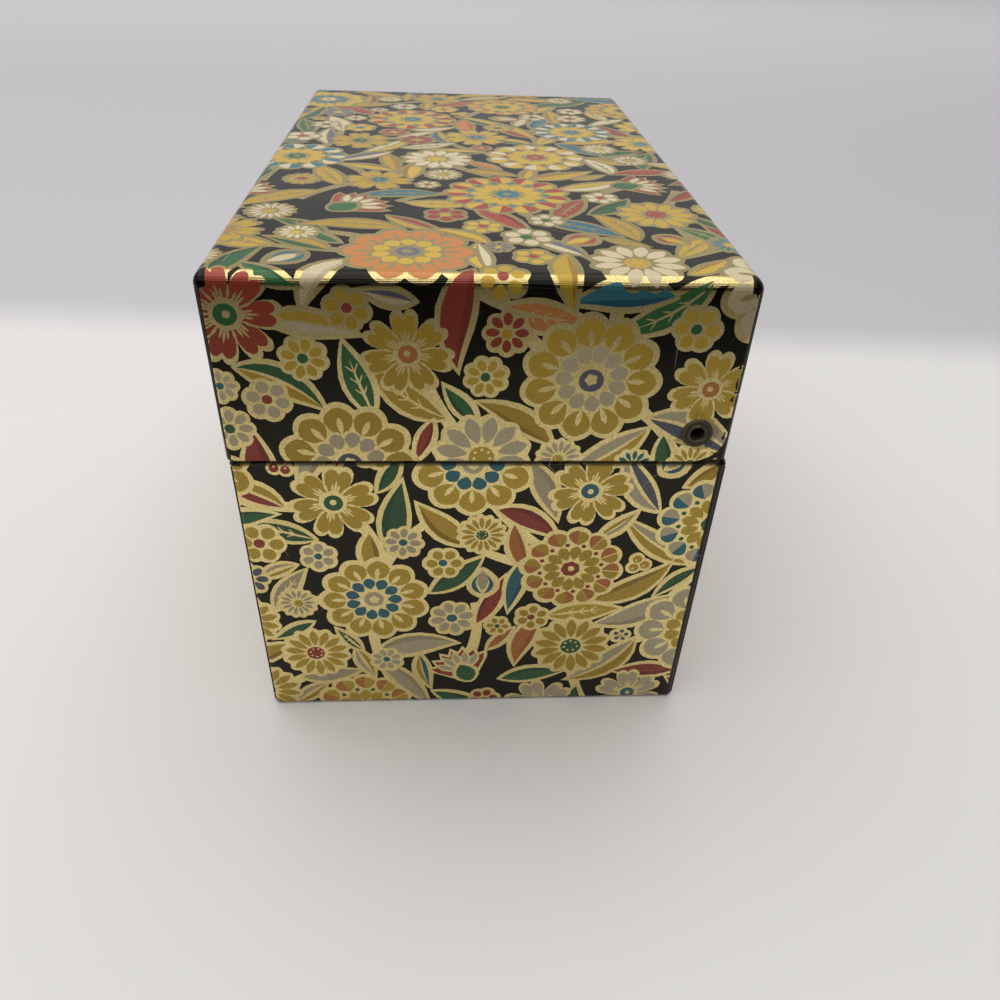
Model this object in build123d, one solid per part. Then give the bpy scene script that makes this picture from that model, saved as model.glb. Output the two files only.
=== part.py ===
"""Hinged recipe card box of printed tinplate.

Two folded shells and two hollow eyelets. The lid has deep front and end walls that slide
over a neck set in from the base, a short back wall, and a rounded ear at the rear of each
end wall. An eyelet through each ear is the hinge.

X runs along the box, +Y is the hinge side and -Y the front, +Z is up. The origin is on the
surface that the box stands on, under the middle of the closed box.
"""
import os

from build123d import *

# ---------------------------------------------------------------- driving sizes, in mm
# sheet metal
sheet = 0.3                # tinplate
fold_share = 0.48          # a folded edge's radius as a share of its two layers

# lid, measured outside
lid_length = 136.4
lid_depth = 83.5
lid_skirt = 32.0           # front and end walls, from the top down
lid_back_drop = 19.1       # back wall, from the top down
lid_top_bend = 2.0
lid_corner_bend = 1.2
lid_hem = 4.0              # height of the layer folded inwards
lid_hem_stop = 5.6         # the end walls' hem ends this far in front of the hinge axis

# base, measured outside
closed_height = 92.5
base_bottom_bend = 1.0
base_corner_bend = 1.5
neck_corner_bend = 1.1
base_hem = 3.5
end_inset = 0.15           # base ends inside the lid's ends
front_inset = 0.15         # base front inside the lid's front
back_proud = 0.65          # base back behind the lid's back
neck_back_proud = 0.3      # neck's back behind the lid's back
joggle_height = 0.8        # slope from the body in to the neck
shoulder_gap = 0.2         # lid's lower edge above the top of that slope
rim_gap = 0.8              # lid's back wall above the base's rim

# corner laps
tab_width = 10.0
tab_slant = 2.5            # how much shorter a tab's free edge is at each end
tab_relief = 0.3           # tab's end off the hem or bend next to it
lap_line_width = 0.2
lap_line_depth = 0.15

# hinge
hinge_from_back = 6.0      # axis in front of the lid's back
hinge_above_edge = 5.7     # axis above the lid's lower edge
ear_setback = 1.2          # ear's rear edge in front of the lid's back
ear_radius = 5.3
eyelet_bore = 2.3
eyelet_wall = 0.35
flange_diameter = 5.2
flange_thickness = 0.25
roll_diameter = 3.65       # raised roll round the bore, outside
roll_height = 0.5
clinch_diameter = 4.7      # the end spread inside the base
clinch_height = 0.45
crest_flat = 0.2           # flat on top of the roll and of the spread end

# clearances
end_clearance = 0.25       # lid's hem to the neck, at each end
front_clearance = 0.45     # lid's hem to the neck, at the front, for the swing
eyelet_clearance = 0.05    # barrel in the lid's hole, on the radius
flange_clearance = 0.05    # flange off the ear

# ---------------------------------------------------------------- levels and planes
seam_z = closed_height - lid_skirt
lid_back_edge_z = closed_height - lid_back_drop
rim_z = lid_back_edge_z - rim_gap
neck_z = seam_z - shoulder_gap
shoulder_z = neck_z - joggle_height

lid_front_y = -(lid_depth + back_proud) / 2
lid_back_y = lid_front_y + lid_depth
lid_end_x = lid_length / 2

base_front_y = lid_front_y + front_inset
base_back_y = lid_back_y + back_proud
base_end_x = lid_end_x - end_inset

neck_front_y = lid_front_y + 2 * sheet + front_clearance
neck_back_y = lid_back_y + neck_back_proud
neck_end_x = lid_end_x - 2 * sheet - end_clearance

hinge_y = lid_back_y - hinge_from_back
hinge_z = seam_z + hinge_above_edge
fold_radius = 2 * sheet * fold_share

barrel_radius = eyelet_bore / 2 + eyelet_wall
neck_hole_radius = barrel_radius
lid_hole_radius = barrel_radius + eyelet_clearance


# ---------------------------------------------------------------- shapes
def plan(end_x, front_y, back_y, radius, z):
    """Rounded rectangle at height z, from its end, front and back planes."""
    outline = RectangleRounded(2 * end_x, back_y - front_y, radius)
    return Pos(0, (front_y + back_y) / 2, z) * outline


def prism(end_x, front_y, back_y, radius, low_z, high_z):
    """Upright block with rounded vertical corners."""
    return extrude(plan(end_x, front_y, back_y, radius, low_z), high_z - low_z)


def block(low, high):
    """Plain block between two corners."""
    size = [b - a for a, b in zip(low, high)]
    middle = [(a + b) / 2 for a, b in zip(low, high)]
    return Pos(*middle) * Box(*size)


def edges_at(solid, z):
    """Edges of a solid that lie flat at height z."""
    flat = [e for e in solid.edges() if abs(e.center().Z - z) < 1e-3]
    return [e for e in flat if e.bounding_box().size.Z < 1e-3]


def folded_ring(end_x, front_y, back_y, radius, low_z, high_z, fold_z):
    """Two layers of sheet all round, with the fold rounded at its low or high end."""
    two = 2 * sheet
    outside = prism(end_x, front_y, back_y, radius, low_z, high_z)
    inside_radius = max(radius - two, 0.2 * sheet)
    inside = prism(end_x - two, front_y + two, back_y - two, inside_radius, low_z, high_z)
    ring = outside - inside
    return fillet(edges_at(ring, fold_z), fold_radius)


def corner_tab(end_x, side, face_y, inward, low_z, high_z):
    """Lap tab on the inside of a front or back wall, running in from an end wall's face."""
    corner_x = end_x - sheet
    inner_x = end_x - tab_width
    slanted = Polyline(
        (side * corner_x, low_z),
        (side * inner_x, low_z + tab_slant),
        (side * inner_x, high_z - tab_slant),
        (side * corner_x, high_z),
        close=True,
    )
    sheet_face = Plane.XZ * make_face(slanted)
    return Pos(0, face_y, 0) * extrude(sheet_face, sheet, dir=(0, inward, 0))


def lap_line(x, face_y, inward, low_z, high_z):
    """Fine line where a wall's edge meets the corner's bend."""
    reach = inward * lap_line_depth
    near_y, far_y = sorted((face_y + reach, face_y - reach))
    half = lap_line_width / 2
    return block((x - half, near_y, low_z), (x + half, far_y, high_z))


def hinge_hole(radius):
    """Bore along the hinge axis, through both ends."""
    bore = Cylinder(radius, 2 * lid_length, rotation=(0, 90, 0))
    return Pos(0, hinge_y, hinge_z) * bore


# ---------------------------------------------------------------- base
def base_solid(skin):
    """The base's outside, set in by skin all over and open to the rim."""
    lower = prism(
        base_end_x - skin, base_front_y + skin, base_back_y - skin,
        base_corner_bend - skin, skin, shoulder_z,
    )
    lower = fillet(edges_at(lower, skin), base_bottom_bend - skin)
    body_top = plan(
        base_end_x - skin, base_front_y + skin, base_back_y - skin,
        base_corner_bend - skin, shoulder_z,
    )
    neck_foot = plan(
        neck_end_x - skin, neck_front_y + skin, neck_back_y - skin,
        neck_corner_bend - skin, neck_z,
    )
    joggle = loft([body_top, neck_foot], ruled=True)
    neck = prism(
        neck_end_x - skin, neck_front_y + skin, neck_back_y - skin,
        neck_corner_bend - skin, neck_z, rim_z,
    )
    return lower + joggle + neck


def make_base_shell():
    shell = base_solid(0) - base_solid(sheet)
    hem_z = rim_z - base_hem
    shell -= block(
        (-lid_length, 2 * base_front_y, hem_z + sheet),
        (lid_length, 2 * base_back_y, rim_z + sheet),
    )
    shell += folded_ring(
        neck_end_x, neck_front_y, neck_back_y, neck_corner_bend, hem_z, rim_z, rim_z,
    )
    tab_low = base_bottom_bend + tab_relief
    tab_high = shoulder_z - tab_relief
    for side in (-1, 1):
        line_x = side * (base_end_x - base_corner_bend - lap_line_width)
        for wall_y, inward in ((base_front_y, 1), (base_back_y, -1)):
            face_y = wall_y + inward * sheet
            shell += corner_tab(base_end_x, side, face_y, inward, tab_low, tab_high)
            shell -= lap_line(line_x, wall_y, inward, base_bottom_bend, shoulder_z)
    return shell - hinge_hole(neck_hole_radius)


# ---------------------------------------------------------------- lid
def lid_solid(skin):
    """The lid's outside, set in by skin all over and open below."""
    cover = prism(
        lid_end_x - skin, lid_front_y + skin, lid_back_y - skin,
        lid_corner_bend - skin, seam_z, closed_height - skin,
    )
    return fillet(edges_at(cover, closed_height - skin), lid_top_bend - skin)


def rear_cut():
    """What is cut away behind the ears and below the back wall."""
    ear_back_y = lid_back_y - ear_setback
    arc_z = seam_z + ear_radius
    below_back = block(
        (-lid_length, ear_back_y, seam_z - sheet),
        (lid_length, lid_back_y + lid_depth, lid_back_edge_z),
    )
    corner = block(
        (-lid_length, hinge_y, seam_z - sheet),
        (lid_length, lid_back_y, arc_z),
    )
    round_ear = Pos(0, hinge_y, arc_z) * Cylinder(ear_radius, 2 * lid_length, rotation=(0, 90, 0))
    return below_back + (corner - round_ear)


def make_lid_shell():
    cut = rear_cut()
    shell = lid_solid(0) - lid_solid(sheet) - cut

    # lower edge of the front and end walls, folded inwards as far as the ears
    hem_back_y = hinge_y - lid_hem_stop
    front_part = block(
        (-lid_length, 2 * lid_front_y, seam_z - sheet),
        (lid_length, hem_back_y, seam_z + lid_hem),
    )
    ring = folded_ring(
        lid_end_x, lid_front_y, lid_back_y, lid_corner_bend, seam_z, seam_z + lid_hem, seam_z,
    )
    shell = (shell - front_part) + (ring & front_part)

    # lower edge of the back wall
    back_ring = folded_ring(
        lid_end_x, lid_front_y, lid_back_y, lid_corner_bend,
        lid_back_edge_z, lid_back_edge_z + lid_hem, lid_back_edge_z,
    )
    back_part = block(
        (-lid_end_x + lid_corner_bend, lid_back_y - 2 * sheet, lid_back_edge_z),
        (lid_end_x - lid_corner_bend, lid_back_y + sheet, lid_back_edge_z + lid_hem),
    )
    shell = (shell - back_part) + (back_ring & back_part)

    bend_z = closed_height - lid_top_bend
    for side in (-1, 1):
        line_x = side * (lid_end_x - lid_corner_bend - lap_line_width)
        for wall_y, inward, edge_z in ((lid_front_y, 1, seam_z), (lid_back_y, -1, lid_back_edge_z)):
            face_y = wall_y + inward * sheet
            tab_low = edge_z + lid_hem + tab_relief
            tab_high = bend_z - tab_relief
            shell += corner_tab(lid_end_x, side, face_y, inward, tab_low, tab_high)
            shell -= lap_line(line_x, wall_y, inward, edge_z - sheet, bend_z)
    return shell - hinge_hole(lid_hole_radius)


# ---------------------------------------------------------------- eyelets
def make_eyelet():
    """Right-hand eyelet: barrel, flange and raised roll outside, clinched end inside."""
    bore = eyelet_bore / 2
    inner_face = neck_end_x - sheet
    under_flange = lid_end_x + flange_clearance
    top_flange = under_flange + flange_thickness
    crest = under_flange + roll_height
    clinch = inner_face - clinch_height
    flange = flange_diameter / 2
    roll = roll_diameter / 2
    spread = clinch_diameter / 2
    rim = flange_thickness / 2
    crest_half = crest_flat / 2
    roll_middle = (bore + roll) / 2
    clinch_middle = (bore + spread) / 2

    outline = Polyline(
        (inner_face, barrel_radius),
        (under_flange, barrel_radius),
        (under_flange, flange),
        (under_flange + rim, flange),
        (top_flange, flange - rim),
        (top_flange, roll),
        (crest, roll_middle + crest_half),
        (crest, roll_middle - crest_half),
        (top_flange, bore),
        (inner_face - clinch_height / 2, bore),
        (clinch, clinch_middle - crest_half),
        (clinch, clinch_middle + crest_half),
        (inner_face, spread),
        close=True,
    )
    return Pos(0, hinge_y, hinge_z) * revolve(make_face(outline), Axis.X)


# ---------------------------------------------------------------- write the pieces
right_eyelet = make_eyelet()
pieces = {
    "base_shell": make_base_shell(),
    "lid_shell": make_lid_shell(),
    "hinge_eyelet_right": right_eyelet,
    "hinge_eyelet_left": mirror(right_eyelet, Plane.YZ),
}

os.makedirs("parts", exist_ok=True)
for name, piece in pieces.items():
    export_step(piece, f"parts/{name}.step")
    print(name, "volume", round(piece.volume, 2), "mm3, solids", len(piece.solids()))
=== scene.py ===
"""Dresses the recipe card box: printed tinplate shells, bare tin inside, bronze eyelets."""
import math
import random

import bpy
import numpy as np
from mathutils import Matrix, Vector
from mathutils.geometry import delaunay_2d_cdt


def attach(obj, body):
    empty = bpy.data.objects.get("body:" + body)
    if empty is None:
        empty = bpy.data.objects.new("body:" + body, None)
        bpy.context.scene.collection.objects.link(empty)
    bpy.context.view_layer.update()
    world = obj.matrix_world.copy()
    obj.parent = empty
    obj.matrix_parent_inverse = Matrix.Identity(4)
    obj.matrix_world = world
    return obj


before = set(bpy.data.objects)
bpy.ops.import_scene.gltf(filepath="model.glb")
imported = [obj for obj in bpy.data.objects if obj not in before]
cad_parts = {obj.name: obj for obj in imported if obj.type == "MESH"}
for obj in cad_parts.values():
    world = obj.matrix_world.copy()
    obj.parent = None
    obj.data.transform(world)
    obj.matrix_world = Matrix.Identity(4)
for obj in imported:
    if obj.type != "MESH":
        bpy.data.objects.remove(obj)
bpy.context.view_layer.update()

# ---------------------------------------------------------------- base shell and lid shell
# Two shells folded from thin tinplate. The outside is black enamel under a clear lacquer,
# rubbed to bare metal along the folds; the inside is plain lacquered tin, and the hems turn
# the enamelled side inwards.
MM = 0.001
seam_z = 60.5              # lower edge of the lid's front and end walls, mm
rim_z = 72.6               # upper edge of the base's neck
lid_back_edge_z = 73.4     # lower edge of the lid's back wall
ears_from_y = 29.9         # where the hem of the lid's end walls stops, before the hinge ears
past_walls = 60.0          # further out than any wall


def feed(tree, node, feeds):
    """Feeds a node's inputs from plain values or from other nodes' outputs."""
    for name, value in feeds.items():
        if isinstance(value, bpy.types.NodeSocket):
            tree.links.new(value, node.inputs[name])
        else:
            node.inputs[name].default_value = value


def put(tree, kind, feeds=None, **settings):
    """Adds a node, with its settings and what feeds its inputs."""
    node = tree.nodes.new("ShaderNode" + kind)
    for name, value in settings.items():
        setattr(node, name, value)
    feed(tree, node, feeds or {})
    return node


def sums(tree, operation, *values, clamp=False):
    """One Math node."""
    return put(tree, "Math", dict(enumerate(values)), operation=operation, use_clamp=clamp).outputs[0]


def vectors(tree, operation, *values):
    """One Vector Math node: its vector, or its value for a dot product or a length."""
    node = put(tree, "VectorMath", dict(enumerate(values)), operation=operation)
    return node.outputs["Value" if operation in ("DOT_PRODUCT", "LENGTH") else "Vector"]


def axes(tree, vector):
    """A vector's X, Y and Z."""
    return put(tree, "SeparateXYZ", {"Vector": vector}).outputs


def noise(tree, spot, scale, detail):
    """Cloudy noise whose largest clouds are about 1 / scale metres wide."""
    return put(tree, "TexNoise", {"Vector": spot, "Scale": scale, "Detail": detail}).outputs["Fac"]


def ramp(tree, value, low, high, to_low=0.0, to_high=1.0):
    """A smooth step from low to high."""
    feeds = {"Value": value, "From Min": low, "From Max": high, "To Min": to_low, "To Max": to_high}
    return put(tree, "MapRange", feeds, interpolation_type="SMOOTHSTEP").outputs["Result"]


def within(tree, value, low, high):
    """1 where a value lies between low and high, and 0 elsewhere."""
    over = sums(tree, "GREATER_THAN", value, low)
    return sums(tree, "MULTIPLY", over, sums(tree, "LESS_THAN", value, high))


def blend(tree, share, first, second):
    """Mixes two colours, which a Mix node takes at its sockets 6 and 7 and gives at 2."""
    return put(tree, "Mix", {0: share, 6: first, 7: second}, data_type="RGBA").outputs[2]


def stain(tree, colour, mask, strength, other):
    """The colour, stained with another one where a mask shows."""
    return blend(tree, sums(tree, "MULTIPLY", mask, strength), colour, other)


def new_group(name, inputs, outputs):
    """A shader node group with named inputs and outputs, ready to be filled."""
    group = bpy.data.node_groups.new(name, "ShaderNodeTree")
    for label, value in inputs.items():
        socket = group.interface.new_socket(label, in_out="INPUT", socket_type="NodeSocketFloat")
        socket.default_value = value
    for label, kind in outputs.items():
        group.interface.new_socket(label, in_out="OUTPUT", socket_type="NodeSocket" + kind)
    return group, group.nodes.new("NodeGroupInput").outputs, group.nodes.new("NodeGroupOutput")


def use_group(tree, group, feeds):
    """Places a node group with its own values."""
    return put(tree, "Group", feeds, node_tree=group).outputs


def new_finish(name):
    """An empty material: its tree and its surface shader."""
    material = bpy.data.materials.new(name)
    material.use_nodes = True
    tree = material.node_tree
    tree.nodes.clear()
    surface = put(tree, "BsdfPrincipled")
    put(tree, "OutputMaterial", {"Surface": surface.outputs["BSDF"]})
    return material, tree, surface


def cover(node_name, finish):
    """Gives a piece of the frame its finish."""
    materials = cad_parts[node_name].data.materials
    materials.clear()
    materials.append(finish)


def linear(red, green, blue):
    """A colour as it looks on a screen, 0 to 255, as the shader wants it."""
    parts = []
    for part in (red, green, blue):
        part /= 255
        parts.append(part / 12.92 if part <= 0.04045 else ((part + 0.055) / 1.055) ** 2.4)
    return (*parts, 1.0)


# marks of handling: fine scratches that run every way, and small dark specks
scratch_half_width, scratch_reach = 0.09 * MM, 3.6 * MM
scratches_to_metre, specks_to_metre = 105.0, 360.0
marks, marks_in, marks_out = new_group(
    "handling_marks",
    {"Scratches": 0.3, "Specks": 0.3},
    {"Scratch": "Float", "Speck": "Float"},
)
spot = put(marks, "TexCoord").outputs["Object"]
cells = put(marks, "TexVoronoi", {"Vector": spot, "Scale": scratches_to_metre}).outputs
offset = vectors(marks, "SUBTRACT", spot, cells["Position"])
heading = vectors(marks, "NORMALIZE", vectors(marks, "SUBTRACT", cells["Color"], (0.5, 0.5, 0.5)))
across = sums(marks, "ABSOLUTE", vectors(marks, "DOT_PRODUCT", offset, heading))
thin = ramp(marks, across, scratch_half_width / 3, scratch_half_width, 1.0, 0.0)
near = ramp(marks, vectors(marks, "LENGTH", offset), scratch_reach / 2, scratch_reach, 1.0, 0.0)
drawn = put(marks, "SeparateColor", {"Color": cells["Color"]}).outputs["Green"]
chosen = sums(marks, "LESS_THAN", drawn, marks_in["Scratches"])
scratch = sums(marks, "MULTIPLY", sums(marks, "MULTIPLY", thin, near), chosen)
cells = put(marks, "TexVoronoi", {"Vector": spot, "Scale": specks_to_metre}).outputs
drawn = put(marks, "SeparateColor", {"Color": cells["Color"]}).outputs["Red"]
chosen = sums(marks, "LESS_THAN", drawn, marks_in["Specks"])
speck = sums(marks, "MULTIPLY", ramp(marks, cells["Distance"], 0.04, 0.075, 1.0, 0.0), chosen)
feed(marks, marks_out, {"Scratch": scratch, "Speck": speck})

# the slight waves of pressed sheet and the fine lines drawn along its bends, seen in reflections
wave_height, line_height = 0.16 * MM, 0.05 * MM
waves, waves_in, waves_out = new_group("sheet_waves", {"Waves": 1.0, "Lines": 1.0}, {"Normal": "Vector"})
spot = put(waves, "TexCoord").outputs
way = axes(waves, vectors(waves, "ABSOLUTE", spot["Normal"]))
parts = axes(waves, vectors(waves, "ABSOLUTE", spot["Object"]))
on_end = sums(waves, "GREATER_THAN", way["X"], way["Y"])
side_out = sums(waves, "MULTIPLY", parts["Y"], sums(waves, "SUBTRACT", 1.0, on_end))
outward = sums(waves, "MULTIPLY_ADD", parts["X"], on_end, side_out)
drift = noise(waves, spot["Object"], 30.0, 2.0)
round_bend = sums(waves, "MULTIPLY_ADD", drift, 1.5 * MM, sums(waves, "SUBTRACT", outward, parts["Z"]))
line_feeds = {"W": round_bend, "Scale": 2600.0, "Detail": 1.0}
lines = put(waves, "TexNoise", line_feeds, noise_dimensions="1D").outputs["Fac"]
past_side = ramp(waves, way["Z"], 0.03, 0.3)
before_top = ramp(waves, way["Z"], 0.93, 0.995, 1.0, 0.0)
lines = sums(waves, "MULTIPLY", lines, sums(waves, "MULTIPLY", past_side, before_top))
lines = sums(waves, "MULTIPLY", lines, waves_in["Lines"])
swell = noise(waves, spot["Object"], 75.0, 1.5)
level = sums(waves, "MULTIPLY_ADD", noise(waves, spot["Object"], 1100.0, 1.0), 0.008, swell)
level = sums(waves, "MULTIPLY", sums(waves, "MULTIPLY", level, waves_in["Waves"]), wave_height)
level = sums(waves, "MULTIPLY_ADD", lines, line_height, level)
bump = put(waves, "Bump", {"Height": level, "Distance": 1.0, "Strength": 1.0})
feed(waves, waves_out, {"Normal": bump.outputs["Normal"]})

# paint rubbed through along a fold that lies level at one height
rub, rub_in, rub_out = new_group(
    "rubbed_fold",
    {"Level": 0.0, "Reach": 0.4 * MM, "Amount": 0.5, "From Y": -1.0, "To Y": 1.0},
    {"Worn": "Float"},
)
spot = put(rub, "TexCoord").outputs["Object"]
parts = axes(rub, spot)
away = sums(rub, "ABSOLUTE", sums(rub, "SUBTRACT", parts["Z"], rub_in["Level"]))
close = sums(rub, "SUBTRACT", 1.0, sums(rub, "DIVIDE", away, rub_in["Reach"]), clamp=True)
rubbing = sums(rub, "MULTIPLY", close, noise(rub, spot, 260.0, 5.0))
left_whole = sums(rub, "MULTIPLY", sums(rub, "SUBTRACT", 1.05, rub_in["Amount"]), 0.5)
worn = ramp(rub, sums(rub, "SUBTRACT", rubbing, left_whole), 0.0, 0.08)
stretch = within(rub, parts["Y"], rub_in["From Y"], rub_in["To Y"])
feed(rub, rub_out, {"Worn": sums(rub, "MULTIPLY", worn, stretch)})


def shell_finish(name, middle_z, hem_heights, hem_run, folds):
    """Black enamel outside and lacquered tin inside, for one shell. Places are in mm."""
    material, tree, surface = new_finish(name)
    spot = put(tree, "TexCoord").outputs
    from_middle = vectors(tree, "SUBTRACT", spot["Object"], (0.0, 0.0, middle_z * MM))
    inside = sums(tree, "LESS_THAN", vectors(tree, "DOT_PRODUCT", spot["Normal"], from_middle), 0.0)
    parts = axes(tree, spot["Object"])
    hem_z, hem_y = ([edge * MM for edge in edges] for edges in (hem_heights, hem_run))
    hem = sums(tree, "MULTIPLY", within(tree, parts["Z"], *hem_z), within(tree, parts["Y"], *hem_y))
    bare = sums(tree, "MULTIPLY", inside, sums(tree, "SUBTRACT", 1.0, hem))
    marked = use_group(tree, marks, {"Scratches": 0.35, "Specks": 0.25})
    worn = marked["Scratch"]
    for level, amount, from_y, to_y in folds:
        stretch = {"From Y": from_y * MM, "To Y": to_y * MM}
        fold = use_group(tree, rub, {"Level": level * MM, "Reach": 0.6 * MM, "Amount": amount, **stretch})
        worn = sums(tree, "MAXIMUM", worn, fold["Worn"])
    show_metal = sums(tree, "MULTIPLY", worn, 0.55)
    cloud = noise(tree, spot["Object"], 55.0, 6.0)
    grain = noise(tree, spot["Object"], 2600.0, 2.0)
    spangle = put(tree, "TexVoronoi", {"Vector": spot["Object"], "Scale": 210.0}).outputs["Color"]
    spangle = put(tree, "SeparateColor", {"Color": spangle}).outputs["Blue"]
    enamel = blend(tree, cloud, linear(12, 10, 7), linear(18, 16, 11))
    enamel = blend(tree, show_metal, enamel, linear(170, 160, 135))
    tin = blend(tree, cloud, linear(220, 217, 208), linear(234, 232, 226))
    tin = stain(tree, tin, spangle, 0.18, linear(196, 193, 184))
    tin = stain(tree, tin, marked["Scratch"], 0.5, linear(235, 232, 222))
    colour = blend(tree, bare, enamel, tin)
    rough = sums(tree, "MULTIPLY_ADD", bare, 0.2, sums(tree, "MULTIPLY_ADD", grain, 0.08, 0.13))
    feed(tree, surface, {
        "Base Color": stain(tree, colour, marked["Speck"], 0.6, linear(24, 20, 16)),
        "Metallic": sums(tree, "MAXIMUM", sums(tree, "MULTIPLY", bare, 0.85), show_metal),
        "Roughness": sums(tree, "MULTIPLY_ADD", show_metal, 0.25, rough),
        "Specular IOR Level": 0.28,
        "Specular Tint": (1.0, 0.92, 0.7, 1.0),
        "Normal": use_group(tree, waves, {"Waves": 0.8, "Lines": 1.6})["Normal"],
    })
    return material


# each fold: its height, how much it is rubbed, and the stretch of the walls that is
more_worn_from_y, back_wall_from_y = 10, 41
cover("base_shell", shell_finish(
    "base_enamel_and_tin",
    middle_z=36.0,
    hem_heights=(rim_z - 3.6, rim_z + 1),
    hem_run=(-past_walls, past_walls),
    folds=((rim_z, 0.75, -past_walls, past_walls), (0.0, 0.5, -past_walls, past_walls)),
))
cover("lid_shell", shell_finish(
    "lid_enamel_and_tin",
    middle_z=70.0,
    hem_heights=(seam_z - 1, seam_z + 4.1),
    hem_run=(-past_walls, ears_from_y),
    folds=(
        (seam_z, 0.3, -past_walls, more_worn_from_y), (seam_z, 0.6, more_worn_from_y, past_walls),
        (lid_back_edge_z, 0.6, back_wall_from_y, past_walls),
    ),
))

# ---------------------------------------------------------------- hinge eyelets
# Hollow eyelets set through the lid's ears and the neck from outside. They were plated
# bronze; the plating is dull and dark in the hollows and rubbed on the flange and the roll.
hinge_y, hinge_z = 35.425, 66.2
crest_radius, hollow_radius, flange_radius = 1.49, 1.95, 2.55


def from_hinge(tree, spot):
    """Distance from the hinge's axis."""
    parts = axes(tree, spot)
    across = sums(tree, "SUBTRACT", parts["Y"], hinge_y * MM)
    above = sums(tree, "SUBTRACT", parts["Z"], hinge_z * MM)
    above = sums(tree, "MULTIPLY", above, above)
    return sums(tree, "SQRT", sums(tree, "MULTIPLY_ADD", across, across, above))


def ring(tree, distance, radius, solid, faded):
    """A ring round the hinge: 1 as far as solid to either side of its radius, 0 past faded."""
    away = sums(tree, "ABSOLUTE", sums(tree, "SUBTRACT", distance, radius * MM))
    return ramp(tree, away, solid * MM, faded * MM, 1.0, 0.0)


eyelet_metal, tree, surface = new_finish("eyelet_bronze")
spot = put(tree, "TexCoord").outputs["Object"]
distance = from_hinge(tree, spot)
crest = ring(tree, distance, crest_radius, 0.08, 0.3)
rim = ramp(tree, distance, (flange_radius - 0.2) * MM, flange_radius * MM)
dirt = ring(tree, distance, hollow_radius, 0.1, 0.35)
patch = noise(tree, spot, 900.0, 5.0)
rubbed = sums(tree, "MULTIPLY", sums(tree, "MAXIMUM", crest, rim), ramp(tree, patch, 0.4, 0.62))
tone = blend(tree, patch, linear(78, 72, 54), linear(104, 97, 74))
tone = stain(tree, tone, dirt, 0.4, linear(44, 41, 33))
pits = put(tree, "Bump", {"Height": patch, "Distance": 0.02 * MM, "Strength": 0.6})
feed(tree, surface, {
    "Base Color": stain(tree, tone, rubbed, 0.3, linear(150, 142, 116)),
    "Metallic": 0.6,
    "Roughness": sums(tree, "MULTIPLY_ADD", patch, 0.25, 0.42),
    "Normal": pits.outputs["Normal"],
})
for side in ("right", "left"):
    cover("hinge_eyelet_" + side, eyelet_metal)

# ---------------------------------------------------------------- print on the lid
# Flowers and leaves in eight lithographed inks with gold outlines, printed on the flat blank
# and lacquered before the sheet was folded, so the print runs over the top's bends unbroken.
OUTLINE = 0.95      # gold left showing round each motif, mm
INNER_LINE = 0.55   # gold between the petals of one flower, mm
CELL = 0.5          # spacing of the grid that keeps motifs apart, mm


def turned(points, x, y, angle):
    """The points turned by an angle and then moved to x, y."""
    c, s = math.cos(angle), math.sin(angle)
    return [(x + px * c - py * s, y + px * s + py * c) for px, py in points]


def disc(radius, x=0.0, y=0.0):
    """A round dot, with more chords the larger it is."""
    count = max(8, round(4.5 * math.sqrt(radius) * 3))
    steps = [2 * math.pi * k / count for k in range(count)]
    return [(x + radius * math.cos(a), y + radius * math.sin(a)) for a in steps]


def scallop(radius, lobes, dip, point=1.0, offset=0.0):
    """The outside of a flower: one bump for each petal, with dips between them."""
    count = lobes * 8
    outline = []
    for k in range(count):
        a = 2 * math.pi * k / count
        bump = abs(math.cos(lobes * (a - offset) / 2)) ** point
        r = radius * (1 - dip * (1 - bump))
        outline.append((r * math.cos(a), r * math.sin(a)))
    return outline


def widths(half, wide_at, fullness, steps):
    """Shares of a petal's or a leaf's length, and its half width there, nil at both ends. wide_at
    under 1 moves the widest place outwards, and fullness under 1 makes the ends rounder."""
    for k in range(steps + 1):
        t = (1 - math.cos(math.pi * k / steps)) / 2
        yield t, half * math.sin(math.pi * t ** wide_at) ** fullness if 0 < k < steps else 0.0


def petal(angle, start, end, half, wide_at, fullness, steps, side=0):
    """One petal pointing outwards. side 1 or -1 gives only that half of it."""
    left, right = [], []
    for t, width in widths(half, wide_at, fullness, steps):
        along = start + (end - start) * t
        left.append((along, width))
        right.append((along, -width))
    if side > 0:
        outline = left + [(along, 0.0) for along, _ in reversed(left[1:-1])]
    elif side < 0:
        outline = [(along, 0.0) for along, _ in left[1:-1]] + right[::-1]
    else:
        outline = left + right[-2:0:-1]
    return turned(outline, 0, 0, angle)


def petals(ink, lobes, *form, offset=0.0):
    """A ring of like petals in one ink. offset moves them round by a share of their spacing."""
    step = 2 * math.pi / lobes
    return [(ink, petal((k + offset) * step, *form)) for k in range(lobes)]


def arc_point(distance, bend):
    """A point, and the heading there, on an arc that sets out along +x."""
    if abs(bend) < 1e-6:
        return distance, 0.0, 0.0
    turn = bend * distance
    return math.sin(turn) / bend, (1 - math.cos(turn)) / bend, turn


def blade(start, end, half, bend, steps=11, sides=(1, -1)):
    """A leaf on an arc from start to end. sides gives its left and right share of the width."""
    left, right = [], []
    for t, width in widths(half, 0.85, 1.0, steps):
        x, y, heading = arc_point(start + (end - start) * t, bend)
        nx, ny = -math.sin(heading), math.cos(heading)
        left.append((x + nx * width * sides[0], y + ny * width * sides[0]))
        right.append((x + nx * width * sides[1], y + ny * width * sides[1]))
    return left + right[-2:0:-1]


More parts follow.
